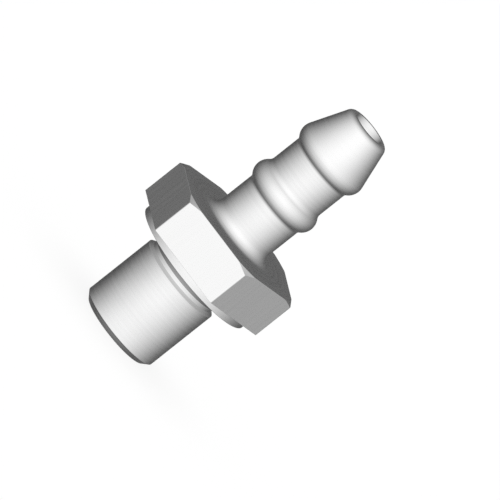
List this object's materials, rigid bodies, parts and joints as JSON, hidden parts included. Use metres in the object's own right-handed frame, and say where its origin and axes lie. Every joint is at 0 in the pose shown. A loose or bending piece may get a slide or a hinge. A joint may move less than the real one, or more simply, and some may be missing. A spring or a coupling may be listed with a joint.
{
  "type": "hose nipple",
  "caption": "Turned steel hose nipple: a plain stub with a relief groove, a sealing collar, a wrench hexagon and a beaded hose tail, bored through.",
  "frame": {"origin": "on the bore's axis, in the plane of the collar's sealing face", "axes": "+Z along the bore's axis, from the stub toward the hose tail's tip; a pair of the hexagon's flats is square to Y"},
  "size_m": [0.015, 0.013, 0.027],
  "materials": {
    "machined_steel": "satin, turned"
  },
  "bodies": {
    "root": {"hose_nipple": "machined_steel"}
  },
  "joints": []
}
